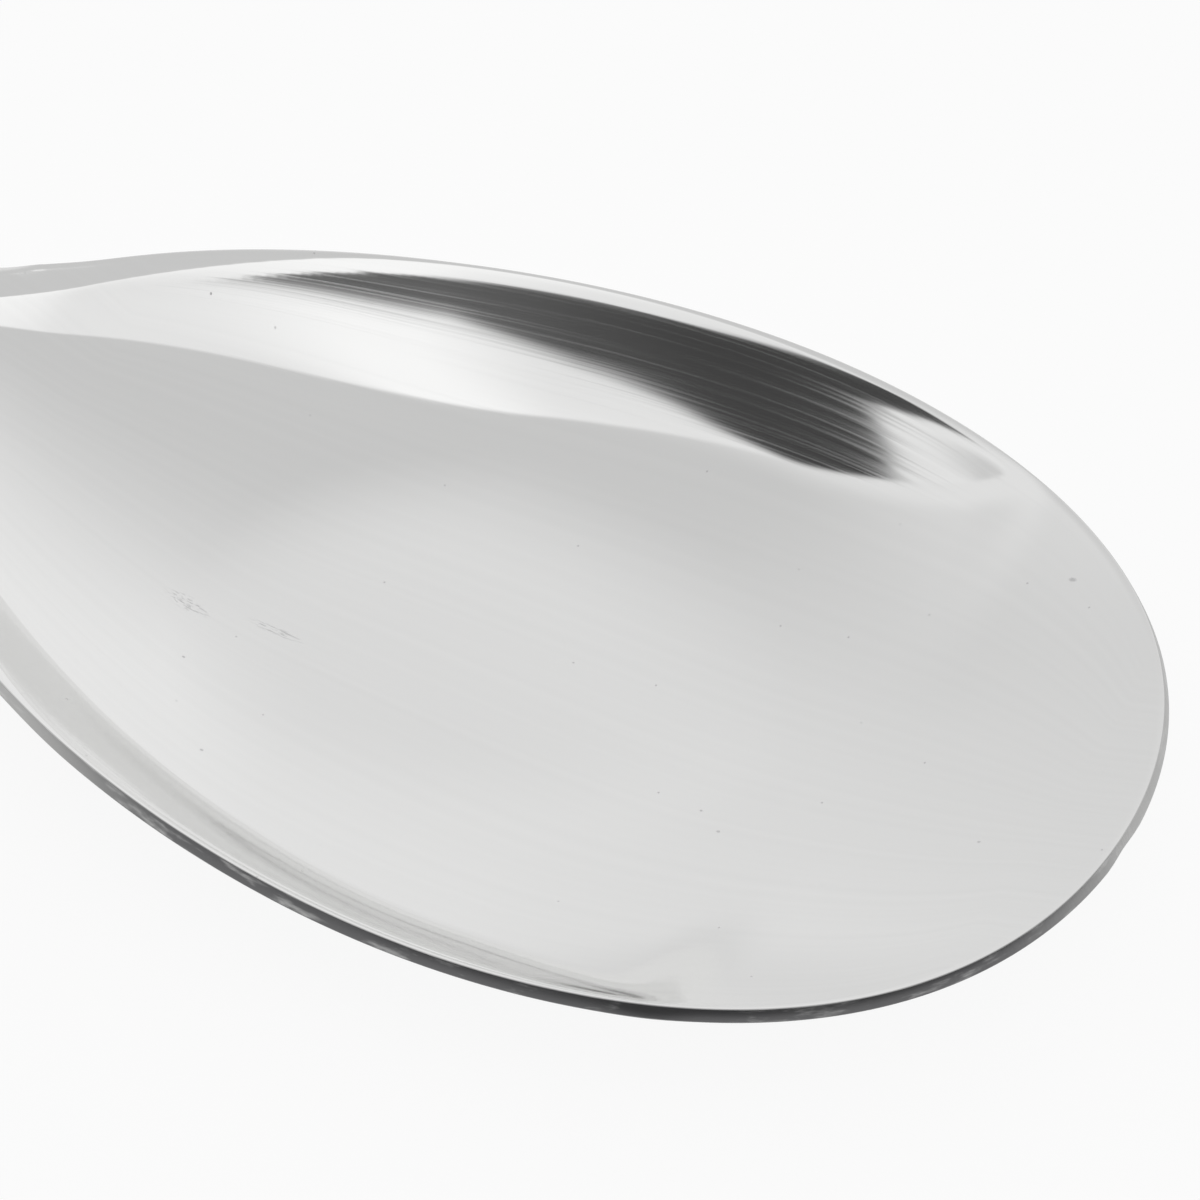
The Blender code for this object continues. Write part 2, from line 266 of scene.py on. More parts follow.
# The studio: levels of light, and edges in degrees. Height is counted over the spoon from the
# back horizon, and swing to the side
BACK_LEVELS = (0.78, 0.97)
BACK_SWINGS = (-34.0, 26.0)
CEILING_LEVELS = (0.69, 0.90)
CEILING_SWINGS = (-18.0, -40.0)
CEILING_HEIGHTS = (38.0, 72.0)
HORIZON_DIM = -0.08
HORIZON_HEIGHTS = (14.0, 3.0)
HORIZON_SWINGS = (24.0, 8.0)
BOX_LEVELS = (1.14, 0.94)
BOX_SWING = -4.0
BOX_SPREADS = (3.0, 20.0)
BOX_HEIGHTS = (91.0, 97.0)
BOX_END_LEVEL = 0.70
BOX_END_SWINGS = (-49.5, -56.0)
FLAG_LEVELS = (0.06, 0.13)
FLAG_LEVEL_SWINGS = (-36.0, -12.0)
FLAG_CORNER_HEIGHT = 116.5
FLAG_CORNER_SWING = -12.5
FLAG_ROUND_HEIGHT = 19.3
FLAG_ROUND_SWING = 19.0
FLAG_SOFTNESS = (0.85, 1.15)
FLAG_END_SWINGS = (-47.0, -45.0)
FLAG_END_HEIGHT = 112.0
FLAG_END_SLANT = 0.25
SECOND_BOUNCE_DEPTHS = (1.2, 1.8)
SECOND_BOUNCE_LEVEL = 1.03
CAMERA_LEVEL = 1.0
FLOOR_GLOW = 0.88
FLOOR_TONE = (0.96, 0.96, 0.96, 1)
FLOOR_ROUGHNESS = 0.9
FLOOR_REACH = 3


def smooth(value):
    value = np.clip(value, 0.0, 1.0)
    return value * value * (3 - 2 * value)


def path(station):
    """Place and lean of the sheet's top face at developed distances from the bowl's middle."""
    left = np.maximum(-station - NECK_START, 0.0)
    turn = np.minimum(left, RISE_ARC) / RISE_RADIUS
    x = np.maximum(station, -NECK_START) - RISE_RADIUS * np.sin(turn)
    z = RIM_TOP + RISE_RADIUS * (1 - np.cos(turn))
    run = np.clip(left - RISE_ARC, 0.0, RISE_RUN)
    x = x - run * math.cos(RISE_ANGLE)
    z = z + run * math.sin(RISE_ANGLE)
    over = np.clip(left - RISE_ARC - RISE_RUN, 0.0, CREST_ARC)
    crest = RISE_ANGLE - over / CREST_RADIUS
    x = x - CREST_RADIUS * (math.sin(RISE_ANGLE) - np.sin(crest))
    z = z + CREST_RADIUS * (np.cos(crest) - math.cos(RISE_ANGLE))
    rest = np.maximum(left - RISE_ARC - RISE_RUN - CREST_ARC, 0.0)
    lean = np.where(over > 0, crest, turn)
    return x - rest * math.cos(GRIP_SLOPE), z - rest * math.sin(GRIP_SLOPE), lean


def grip_body_width(along):
    return GRIP_FRONT_WIDTH + (GRIP_BUTT_WIDTH - GRIP_FRONT_WIDTH) * smooth(along / GRIP_LENGTH)


def grip_half_width(along):
    past = np.clip((along - EYELET_PLACE) / BUTT_RADIUS, 0.0, 1.0)
    return grip_body_width(along) / 2 * np.sqrt(1 - past * past)


def egg_taper(share):
    return 1 + EGG_TAPER * share + TIP_TAPER * share**TIP_TAPER_POWER


def blank_half_width(station):
    """Half width of the flat outline: an egg that runs into the neck, then into the tang."""
    along = -station - GRIP_START
    share = np.clip(station / HALF_LENGTH, -1.0, 1.0)
    egg = HALF_WIDTH * np.sqrt(1 - share * share) * egg_taper(share)
    widening = smooth(1 + along / (NECK_WIDENING * NECK_RUN))
    growth = np.minimum((station / HALF_LENGTH + 1) / NECK_FADE, NECK_FLARE_LIMIT)
    flare = 1 + NECK_FLARE * np.exp(growth)
    neck = (NECK_WIDTH * flare + (GRIP_FRONT_WIDTH - NECK_WIDTH) * widening) / 2
    past = np.minimum((station / HALF_LENGTH + NECK_END) / NECK_END_FADE, NECK_END_LIMIT)
    neck = neck / (1 + np.exp(past))
    ahead = (egg**NECK_JOIN_POWER + neck**NECK_JOIN_POWER) ** (1 / NECK_JOIN_POWER)
    return np.where(along >= 0, grip_half_width(np.maximum(along, 0.0)), ahead)


def wall_foot(share):
    """Where the side starts to climb, as a share of the half width: nearer the rim at the tip."""
    ahead = np.maximum(share - TIP_FOOT_START, 0.0) / (1 - TIP_FOOT_START)
    toward_side = smooth(SIDE_FOOT_SHARE + SIDE_FOOT_RATE * share)
    foot = HEEL_FOOT + (SIDE_FOOT - HEEL_FOOT) * toward_side
    return foot + (TIP_FOOT - SIDE_FOOT) * ahead * ahead


def ramp(value, start, bend):
    """Height gained along a slope that comes in smoothly over the bend."""
    share = np.clip((value - start) / bend, 0.0, 1.0)
    return bend * (share**3 - share**4 / 2) + np.maximum(value - start - bend, 0.0)


def draw_rise(across, foot):
    """Rise across the drawn bowl: a dished floor, a steep side and a flared lip."""
    climb = np.maximum(across - foot, 0.0)
    wall = WALL_SLOPE * ramp(across, foot, WALL_BEND) + WALL_SWELL * climb * climb / 2
    below_lip = LIP_FOOT - foot
    steepest = WALL_SLOPE * smooth(below_lip / WALL_BEND) + WALL_SWELL * np.maximum(below_lip, 0.0)
    lip = LIP_SHARE * steepest * ramp(across, LIP_FOOT, LIP_BEND)
    return DISH_SLOPE * across * across / 2 + smooth((WALL_END - foot) / WALL_FADE) * (wall - lip)


def sink(station, side):
    """How far the drawn bowl and the neck's gutter lie below the rim line."""
    half = blank_half_width(station)
    share = station / HALF_LENGTH
    lip = HEEL_LIP * HALF_WIDTH * smooth((-share - HEEL_LIP_START) / (1 - HEEL_LIP_START))
    across = np.minimum(np.abs(side) / np.maximum(half - lip, LEAST_WIDTH), ACROSS_LIMIT)
    foot = wall_foot(share)
    ahead = np.clip((share - DEEPEST) / (1 - DEEPEST), 0.0, 1.0)
    back = smooth((DEEPEST - share) / (DEEPEST + HEEL_REACH))
    lengthwise = 1 - ahead**TIP_POWER - back
    bowl = DRAW_DEPTH * lengthwise * (1 - draw_rise(across, foot) / draw_rise(1.0, foot))
    over = np.clip((BOWL_DEPTH + FLAT_BLEND - bowl) / (2 * FLAT_BLEND), 0.0, 1.0)
    bowl = BOWL_DEPTH + (bowl - BOWL_DEPTH) * over - FLAT_BLEND * over * (1 - over)
    behind = -station - GUTTER_START
    run_in = smooth(behind / (GUTTER_RUN_IN * GUTTER_LENGTH))
    run_out = smooth((GUTTER_END * GUTTER_LENGTH - behind) / (GUTTER_RUN_OUT * GUTTER_LENGTH))
    reach = side / np.maximum(half, SHEET)
    return bowl + GUTTER_DEPTH * run_in * run_out * np.maximum(0.0, 1 - reach * reach) ** 2


def sheet_points(station, side):
    x, z, lean = path(station)
    drop = sink(station, side)
    return np.stack([x - drop * np.sin(lean), side, z - drop * np.cos(lean)], axis=-1)


def sheet_normals(station, side):
    step = NORMAL_STEP
    along = sheet_points(station + step, side) - sheet_points(station - step, side)
    across = sheet_points(station, side + step) - sheet_points(station, side - step)
    normal = np.cross(along, across)
    return normal / np.linalg.norm(normal, axis=-1, keepdims=True)


def sheet_gain(station):
    """How far the upper face lies over the CAD's: all of it on the bowl, less along the neck."""
    return BOWL_GAIN * smooth((station + GRIP_START) / NECK_RUN)[:, None]


# Where the grip starts, and the axes that it is drawn in
front_x, front_z, front_lean = (float(part) for part in path(np.array(-GRIP_START)))
GRIP_FRAME = Matrix.Translation((
    front_x - SHEET / 2 * math.sin(front_lean),
    0,
    front_z - SHEET / 2 * math.cos(front_lean),
)) @ Matrix.Rotation(front_lean, 4, "Y")


def disc(along, across):
    """Where a point of a square lands when the square is rounded to a disc."""
    return along * np.sqrt(1 - across * across / 2), across * np.sqrt(1 - along * along / 2)


def blank_plan(inset):
    """Cross rows of the flat sheet, from tip to butt, drawn in from the outline by the inset."""
    even = np.linspace(-1.0, 1.0, CROSS_COLUMNS)
    columns = np.sign(even) * np.abs(even) ** EDGE_CROWDING
    u, v = disc(np.linspace(1.0, 0.0, TIP_ROWS, endpoint=False)[:, None], columns[None, :])
    tip = np.stack([(HALF_LENGTH - inset) * u, (HALF_WIDTH - inset) * v * egg_taper(u)], axis=-1)
    straight = np.concatenate([
        np.linspace(0.0, -PLAN_HEEL, BOWL_ROWS, endpoint=False),
        np.linspace(-PLAN_HEEL, -PLAN_THROAT, HEEL_ROWS, endpoint=False),
        np.linspace(-PLAN_THROAT, -GRIP_START, NECK_ROWS, endpoint=False),
        np.linspace(-GRIP_START, -GRIP_START - EYELET_PLACE, TANG_ROWS),
    ])
    sides = columns[None, :] * (blank_half_width(straight)[:, None] - inset)
    shaft = np.stack([np.broadcast_to(straight[:, None], sides.shape), sides], axis=-1)
    u, v = disc(np.linspace(0.0, 1.0, BUTT_ROWS)[1:, None], columns[None, :])
    along = EYELET_PLACE + (BUTT_RADIUS - inset) * u
    butt = np.stack([-GRIP_START - along, v * (grip_body_width(along) / 2 - inset)], axis=-1)
    return np.concatenate([tip, shaft, butt])


def rim_loop(rows, columns):
    """Grid indices once round the outline."""
    grid = np.arange(rows * columns).reshape(rows, columns)
    return np.concatenate([grid[0, :-1], grid[:-1, -1], grid[-1, :0:-1], grid[:0:-1, 0]])


def add_piece(name, mesh):
    piece = bpy.data.objects.new(name, mesh)
    bpy.context.scene.collection.objects.link(piece)
    return piece


def settle(piece):
    """Turn a piece and its modifiers into one plain mesh."""
    graph = bpy.context.evaluated_depsgraph_get()
    mesh = bpy.data.meshes.new_from_object(piece.evaluated_get(graph))
    piece.modifiers.clear()
    piece.data = mesh
    return piece


def soften(piece, angle):
    """Smooth shading, broken at edges sharper than the angle."""
    piece.data.polygons.foreach_set("use_smooth", [True] * len(piece.data.polygons))
    piece.data.set_sharp_from_angle(angle=math.radians(angle))


def finish_piece(piece, material, slot, *nodes):
    """Give a piece its finish, hang it under the root body and hide the CAD nodes that it stands
    for.
    """
    piece.data.materials.clear()
    piece.data.materials.append(material)
    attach(piece, "root")
    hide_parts(*nodes)


def store(mesh, name, values):
    """Keep a number or a place for each point of a mesh, for its material to read."""
    kind, key = ("FLOAT", "value") if values.ndim == 1 else ("FLOAT_VECTOR", "vector")
    mesh.attributes.new(name, kind, "POINT").data.foreach_set(key, values.ravel())


def to_mesh(bm, name):
    mesh = bpy.data.meshes.new(name)
    bm.to_mesh(mesh)
    bm.free()
    return mesh


def edge_run(rim):
    """Distance along the outline from the butt, the same on both sides."""
    steps = np.linalg.norm(np.diff(rim, axis=0, append=rim[:1]), axis=1)
    run = np.concatenate([[0.0], np.cumsum(steps)[:-1]])
    run = np.abs(run - run[np.argmin(rim[:, 0])])
    return np.minimum(run, steps.sum() - run)


def cut_edge_rings(edge, rim):
    """Points round the cut edge, ring by ring from the upper face to the under face."""
    up = sheet_normals(edge[:, 0], edge[:, 1])
    out = np.cross(np.roll(rim, -1, axis=0) - np.roll(rim, 1, axis=0), up)
    out /= np.linalg.norm(out, axis=1, keepdims=True)
    out *= np.sign((out[0] * (rim[0] - rim.mean(axis=0))).sum())
    gain = sheet_gain(edge[:, 0])
    rings = []
    for turn in np.radians(EDGE_TURNS):
        rise = gain - EDGE_EASE * (1 - math.cos(turn))
        rings.append(rim - out * EDGE_EASE * (1 - math.sin(turn)) + up * rise)
    for turn in np.radians(EDGE_TURNS[::-1]):
        drop = SHEET - EDGE_EASE * (1 - math.cos(turn))
        rings.append(rim - out * EDGE_EASE * (1 - math.sin(turn)) - up * drop)
    return rings


def pressed_blank():
    """Bowl, neck and tang as one closed sheet with eased cut edges."""
    inner = blank_plan(FACE_INSET)
    rows, columns = inner.shape[:2]
    flat = inner.reshape(-1, 2)
    middle = sheet_points(flat[:, 0], flat[:, 1])
    lift = sheet_normals(flat[:, 0], flat[:, 1])
    top = middle + sheet_gain(flat[:, 0]) * lift
    under = middle - SHEET * lift
    loop = rim_loop(rows, columns)
    edge = blank_plan(0.0).reshape(-1, 2)[loop]
    rim = sheet_points(edge[:, 0], edge[:, 1])
    rings = cut_edge_rings(edge, rim)
    points = np.concatenate([top, under] + rings)
    grid = np.arange(rows * columns).reshape(rows, columns)
    quads = [grid[:-1, :-1], grid[:-1, 1:], grid[1:, 1:], grid[1:, :-1]]
    quads = np.stack(quads, axis=-1).reshape(-1, 4)
    faces = quads.tolist() + (quads[:, ::-1] + rows * columns).tolist()
    start = 2 * rows * columns
    chain = [loop] + [start + k * len(loop) + np.arange(len(loop)) for k in range(len(rings))]
    chain.append(loop + rows * columns)
    for near, far in zip(chain, chain[1:]):
        faces += np.stack([near, far, np.roll(far, -1), np.roll(near, -1)], axis=-1).tolist()
    mesh = bpy.data.meshes.new("pressed_blank")
    mesh.from_pydata(points.tolist(), [], faces)

    # Where the metal is dull, and the places that the nicks and the brushing follow
    dull = np.repeat(EDGE_DULLNESS + EDGE_DULLNESS[::-1], len(loop))
    store(mesh, "cut_edge", np.concatenate([np.zeros(start), dull]))
    run = np.tile(edge_run(rim), len(rings))
    deep = np.repeat(np.arange(len(rings)), len(loop))
    bank = np.tile(np.sign(rim[:, 1]), len(rings))
    along_edge = np.stack([run, deep * NICK_STEP, bank * BANK_SHIFT], axis=-1)
    store(mesh, "edge_place", np.concatenate([np.zeros((start, 3)), along_edge]))
    plan = np.concatenate([flat, flat, np.tile(edge, (len(rings), 1))])
    half = np.maximum(blank_half_width(plan[:, 0]), BRUSH_NARROWEST)
    brushed = [plan[:, 0], plan[:, 1] * HALF_WIDTH / half, 0 * half]
    store(mesh, "brush_place", np.stack(brushed, axis=-1))

    bm = bmesh.new()
    bm.from_mesh(mesh)
    bmesh.ops.recalc_face_normals(bm, faces=bm.faces)
    bm.to_mesh(mesh)
    bm.free()
    return add_piece("pressed_blank", mesh)


def lathe(bm, profile, x, turns):
    """Turn a closed outline of radius and height about an upright axis."""
    verts = [bm.verts.new((x + radius, 0, height)) for radius, height in profile]
    edges = [bm.edges.new(pair) for pair in zip(verts, verts[1:] + verts[:1])]
    turned = [edge for edge in edges if max(abs(v.co.x - x) for v in edge.verts) > ON_AXIS]
    bmesh.ops.spin(
        bm,
        geom=verts + turned,
        cent=(x, 0, 0),
        axis=(0, 0, 1),
        angle=2 * math.pi,
        steps=turns,
        use_merge=True,
    )
    bmesh.ops.remove_doubles(bm, verts=bm.verts, dist=WELD)
    loose = [edge for edge in bm.edges if not edge.link_faces]
    bmesh.ops.delete(bm, geom=loose, context="EDGES")
    bmesh.ops.recalc_face_normals(bm, faces=bm.faces)


def turned_piece(name, profile, x, turns, radius):
    """A lathed piece that keeps how far out each of its points lies, as a share of the radius."""
    bm = bmesh.new()
    lathe(bm, profile, x, turns)
    piece = add_piece(name, to_mesh(bm, name))
    reach = [math.hypot(v.co.x - x, v.co.y) / radius for v in piece.data.vertices]
    store(piece.data, "head_reach", np.array(reach))
    return piece


def stepped(wide, narrow, seat):
    """Outline of a through hole with a recess for a head on each side."""
    end = SCALE_FACE + CUTTER_SPARE
    steps = [(0, -end), (wide, -end), (wide, -seat), (narrow, -seat)]
    return steps + [(radius, -height) for radius, height in reversed(steps)]


def hole_cutter():
    rivet_seat = SCALE_FACE - RIVET_HEAD - CLOSE_FIT
    rivet_hole = stepped(RIVET_HOLE, RIVET_SHANK + CLOSE_FIT, rivet_seat)
    flange_seat = SCALE_FACE - FLANGE_THICKNESS - CLOSE_FIT
    eyelet_hole = stepped(EYELET_HOLE, EYELET_TUBE + CLOSE_FIT, flange_seat)
    bm = bmesh.new()
    for k in range(RIVET_COUNT):
        lathe(bm, rivet_hole, -RIVET_FIRST - k * RIVET_PITCH, CUTTER_TURNS)
    lathe(bm, eyelet_hole, -EYELET_PLACE, CUTTER_TURNS)
    mesh = to_mesh(bm, "hole_cutter")
    mesh.transform(GRIP_FRAME)
    return add_piece("hole_cutter", mesh)


def drill(piece, cutter):
    """Cut the holes, and clear away the slivers that a cut can leave."""
    cut = piece.modifiers.new("holes", "BOOLEAN")
    cut.operation = "DIFFERENCE"
    cut.solver = "EXACT"
    cut.object = cutter
    settle(piece)
    bm = bmesh.new()
    bm.from_mesh(piece.data)
    bmesh.ops.dissolve_degenerate(bm, dist=SLIVER, edges=bm.edges)
    bm.to_mesh(piece.data)
    bm.free()
    return piece


def grip_scale(name, side):
    """A moulded grip half: the outline pulled out from the tang, with a rounded outer edge."""
    nose = NOSE_LENGTH * (1 - np.cos(np.linspace(0.0, QUARTER, NOSE_STEPS, endpoint=False)))
    body = np.linspace(NOSE_LENGTH, EYELET_PLACE, GRIP_STEPS, endpoint=False)
    butt = EYELET_PLACE + BUTT_RADIUS * np.sin(np.linspace(0.0, QUARTER, BUTT_STEPS))
    along = np.concatenate([nose, body, butt])
    cut = np.maximum(0.0, 1 - along / NOSE_LENGTH)
    half = grip_half_width(along) * np.sqrt(1 - cut * cut)
    outline = list(zip(-along, half)) + list(zip(-along[-2:0:-1], -half[-2:0:-1]))
    seat = SHEET / 2 + CLOSE_FIT
    bm = bmesh.new()
    face = bm.faces.new([bm.verts.new((x, y, side * seat)) for x, y in outline])
    grown = bmesh.ops.extrude_face_region(bm, geom=[face], use_keep_orig=True)["geom"]
    moved = {item for item in grown if isinstance(item, bmesh.types.BMVert)}
    bmesh.ops.translate(bm, verts=list(moved), vec=(0, 0, side * (SCALE_FACE - seat)))
    rim = [edge for edge in bm.edges if edge.verts[0] in moved and edge.verts[1] in moved]
    bmesh.ops.bevel(
        bm,
        geom=rim,
        offset=SCALE_ROUND,
        segments=ROUND_STEPS,
        profile=ROUND_PROFILE,
        affect="EDGES",
    )
    bmesh.ops.recalc_face_normals(bm, faces=bm.faces)
    mesh = to_mesh(bm, name)
    mesh.transform(GRIP_FRAME)
    return add_piece(name, mesh)


def rivet_row_tree():
    """Geometry nodes that set one turned head along the grip, a pitch apart."""
    tree = bpy.data.node_groups.new("rivet_row", "GeometryNodeTree")
    inputs = {
        "Geometry": "NodeSocketGeometry",
        "First": "NodeSocketFloat",
        "Pitch": "NodeSocketFloat",
        "Count": "NodeSocketInt",
        "Finish": "NodeSocketMaterial",
    }
    for label, kind in inputs.items():
        tree.interface.new_socket(label, in_out="INPUT", socket_type=kind)
    tree.interface.new_socket("Geometry", in_out="OUTPUT", socket_type="NodeSocketGeometry")
    given = tree.nodes.new("NodeGroupInput")
    start = tree.nodes.new("ShaderNodeCombineXYZ")
    step = tree.nodes.new("ShaderNodeCombineXYZ")
    line = tree.nodes.new("GeometryNodeMeshLine")
    copies = tree.nodes.new("GeometryNodeInstanceOnPoints")
    real = tree.nodes.new("GeometryNodeRealizeInstances")
    dress = tree.nodes.new("GeometryNodeSetMaterial")
    made = tree.nodes.new("NodeGroupOutput")
    for name, vector in (("First", start), ("Pitch", step)):
        back = tree.nodes.new("ShaderNodeMath")
        back.operation = "MULTIPLY"
        back.inputs[1].default_value = -1.0
        tree.links.new(given.outputs[name], back.inputs[0])
        tree.links.new(back.outputs[0], vector.inputs["X"])
    for source, target in (
        (given.outputs["Count"], line.inputs["Count"]),
        (start.outputs[0], line.inputs["Start Location"]),
        (step.outputs[0], line.inputs["Offset"]),
        (line.outputs["Mesh"], copies.inputs["Points"]),
        (given.outputs["Geometry"], copies.inputs["Instance"]),
        (copies.outputs["Instances"], real.inputs["Geometry"]),
        (real.outputs["Geometry"], dress.inputs["Geometry"]),
        (given.outputs["Finish"], dress.inputs["Material"]),
        (dress.outputs["Geometry"], made.inputs["Geometry"]),
    ):
        tree.links.new(source, target)
    return tree


def eased_corner(radius, height, ease, turns):
    """Points round an eased outer corner, from its upper face to its side."""
    return [
        (radius - ease * (1 - math.sin(turn)), height - ease * (1 - math.cos(turn)))
        for turn in turns
    ]


def rivet_row(name, side, tree, finish):
    """Three domed heads on their shanks, in one face of the grip."""
    radius = RIVET_HOLE - CLOSE_FIT
    seat = SCALE_FACE - RIVET_HEAD
    head = [(0, SCALE_FACE + RIVET_DOME)]
    for share in np.linspace(0.0, 1.0, DOME_STEPS)[1:]:
        dome = SCALE_FACE + RIVET_DOME * (1 - share * share)
        head.append((share * (radius - RIVET_EASE), dome))
    head += eased_corner(radius, SCALE_FACE, RIVET_EASE, np.radians(EDGE_TURNS[1:]))
    head += [(radius, seat), (RIVET_SHANK, seat), (RIVET_SHANK, SHEET), (0, SHEET)]
    profile = [(out, side * height) for out, height in head]
    piece = turned_piece(name, profile, 0.0, RIVET_TURNS, radius)
    row = piece.modifiers.new("rivet_row", "NODES")
    row.node_group = tree
    values = {"First": RIVET_FIRST, "Pitch": RIVET_PITCH, "Count": RIVET_COUNT, "Finish": finish}
    for item in tree.interface.items_tree:
        if item.in_out == "INPUT" and item.name in values:
            row[item.identifier] = values[item.name]
    settle(piece)
    piece.data.transform(GRIP_FRAME)
    return piece


def eyelet():
    """A tube with a rolled flange at each end."""
    wide = EYELET_HOLE - CLOSE_FIT
    under = SCALE_FACE - FLANGE_THICKNESS
    turns = np.linspace(0.0, QUARTER, ROLL_STEPS)
    flange = []
    for turn in turns:
        inward = EYELET_BORE + EYELET_ROLL * (1 - math.cos(turn))
        flange.append((inward, SCALE_FACE - EYELET_ROLL * (1 - math.sin(turn))))
    flange += eased_corner(wide, SCALE_FACE, EYELET_ROLL, turns)
    flange += [(wide, under), (EYELET_TUBE, under)]
    profile = flange + [(radius, -height) for radius, height in reversed(flange)]
    piece = turned_piece("hanging_eyelet_ring", profile, -EYELET_PLACE, EYELET_TURNS, wide)
    piece.data.transform(GRIP_FRAME)
    return piece


def feed(tree, socket, value):
    """Link a socket, or set it to a plain value."""
    if isinstance(value, bpy.types.NodeSocket):
        tree.links.new(value, socket)
    else:
        socket.default_value = value


def node(tree, kind, inputs=(), **settings):
    """Add a node, set its values or links, and give back its first output."""
    made = tree.nodes.new(kind)
    for key, value in settings.items():
        setattr(made, key, value)
    for key, value in dict(inputs).items():
        feed(tree, made.inputs[key], value)
    return made.outputs[0]


def math_node(tree, operation, *values):
    return node(tree, "ShaderNodeMath", enumerate(values), operation=operation)


def vector_node(tree, operation, *values, output="Vector"):
    made = tree.nodes.new("ShaderNodeVectorMath")
    made.operation = operation
    for key, value in enumerate(values):
        feed(tree, made.inputs[key], value)
    return made.outputs[output]


def noise(tree, place, scale, detail, **others):
    values = {"Vector": place, "Scale": scale, "Detail": detail, **others}
    return node(tree, "ShaderNodeTexNoise", values)


def between(tree, value, low, high, start=0.0, end=1.0):
    """A value eased from start to end while another goes from low to high."""
    spread = {0: value, 1: low, 2: high, 3: start, 4: end}
    return node(tree, "ShaderNodeMapRange", spread, interpolation_type="SMOOTHSTEP")


def excess(tree, value, limit):
    """How far a value is past a limit, or nothing."""
    return math_node(tree, "MAXIMUM", math_node(tree, "SUBTRACT", value, limit), 0.0)


def squared_share(tree, value, whole):
    return math_node(tree, "POWER", math_node(tree, "DIVIDE", value, whole), 2.0)


def blend(tree, share, first, second):
    return node(tree, "ShaderNodeMix", {0: share, 2: first, 3: second})


def mix_colour(tree, share, first, second):
    """Mix two colours. A mix node keeps its colours in sockets 6 and 7, and gives them out at 2."""
    made = tree.nodes.new("ShaderNodeMix")
    made.data_type = "RGBA"
    for key, value in ((0, share), (6, first), (7, second)):
        feed(tree, made.inputs[key], value)
    return made.outputs[2]


def add_bump(tree, height, distance, normal=None):
    inputs = {"Height": height, "Distance": distance, "Strength": 1.0}
    if normal is not None:
        inputs["Normal"] = normal
    return node(tree, "ShaderNodeBump", inputs)


def attribute(tree, name, output="Fac"):
    made = tree.nodes.new("ShaderNodeAttribute")
    made.attribute_name = name
    return made.outputs[output]


def object_place(tree):
    return tree.nodes.new("ShaderNodeTexCoord").outputs["Object"]


def new_material(name):
    material = bpy.data.materials.new(name)
    material.use_nodes = True
    return material, material.node_tree, material.node_tree.nodes["Principled BSDF"]


def new_group(name, inputs, outputs):
    """An empty shader group with its named inputs and outputs."""
    tree = bpy.data.node_groups.new(name, "ShaderNodeTree")
    for label, kind in inputs.items():
        tree.interface.new_socket(label, in_out="INPUT", socket_type=kind)
    for label in outputs:
        tree.interface.new_socket(label, in_out="OUTPUT", socket_type="NodeSocketFloat")
    return tree, tree.nodes.new("NodeGroupInput"), tree.nodes.new("NodeGroupOutput")


def use_group(tree, group, inputs):
    made = tree.nodes.new("ShaderNodeGroup")
    made.node_tree = group
    for key, value in inputs.items():
        feed(tree, made.inputs[key], value)
    return made


def polishing_marks_group():
    """Fine parallel polishing lines, and slow waves of the metal under them."""
    inputs = {
        "Place": "NodeSocketVector",
        "Stretch": "NodeSocketVector",
        "Fineness": "NodeSocketFloat",
    }
    tree, given, made = new_group("polishing_marks", inputs, ["Lines", "Streaks", "Waves"])
    place, stretch, fineness = (given.outputs[name] for name in inputs)
    drawn = vector_node(tree, "MULTIPLY", place, stretch)
    lines = noise(tree, drawn, fineness, detail=3.0)
    coarse = math_node(tree, "MULTIPLY", fineness, STREAK_SHARE)
    streaks = noise(tree, drawn, coarse, detail=2.0)
    waves = noise(tree, place, WAVE_SCALE, detail=1.0)
    tree.links.new(lines, made.inputs["Lines"])
    tree.links.new(streaks, made.inputs["Streaks"])
    tree.links.new(waves, made.inputs["Waves"])
    return tree


def scuff_group():
    """A small patch of crossing scratches round a place on the metal."""
    inputs = {
        "Place": "NodeSocketVector",
        "Centre": "NodeSocketVector",
        "Size": "NodeSocketVector",
        "Cover": "NodeSocketFloat",
    }
    tree, given, made = new_group("scuffed_patch", inputs, ["Mask"])
    place, centre, size, cover = (given.outputs[name] for name in inputs)
    offset = vector_node(tree, "SUBTRACT", place, centre)
    share = vector_node(tree, "DIVIDE", offset, size)
    patch = between(tree, vector_node(tree, "LENGTH", share, output="Value"), *SCUFF_FADE)
    turned = {"Vector": offset, "Rotation": SCUFF_TURN, "Scale": SCUFF_STRETCH}
    lines = noise(tree, node(tree, "ShaderNodeMapping", turned), SCUFF_FINENESS, detail=3.0)
    filled = math_node(tree, "MAXIMUM", between(tree, lines, *SCUFF_LINES), cover)
    tree.links.new(math_node(tree, "MULTIPLY", patch, filled), made.inputs["Mask"])
    return tree


def wear(tree, place, scuffs):
    """Scuffs and pits at their own places, and a few fine specks all over."""
    worn = 0.0
    for centre, size, cover in SCUFFS:
        mark = {"Place": place, "Centre": centre, "Size": size, "Cover": cover}
        patch = use_group(tree, scuffs, mark)
        worn = math_node(tree, "MAXIMUM", patch.outputs["Mask"], worn)
    specks = tree.nodes.new("ShaderNodeTexVoronoi")
    specks.voronoi_dimensions = "2D"
    specks.inputs["Scale"].default_value = SPECK_SCALE
    tree.links.new(place, specks.inputs["Vector"])
    few = tree.nodes.new("ShaderNodeSeparateColor")
    tree.links.new(specks.outputs["Color"], few.inputs[0])
    speck = between(tree, specks.outputs["Distance"], *SPECK_SIZES)
    speck = math_node(tree, "MULTIPLY", speck, between(tree, few.outputs["Red"], *SPECK_SHARES))
    return math_node(tree, "MAXIMUM", worn, speck)


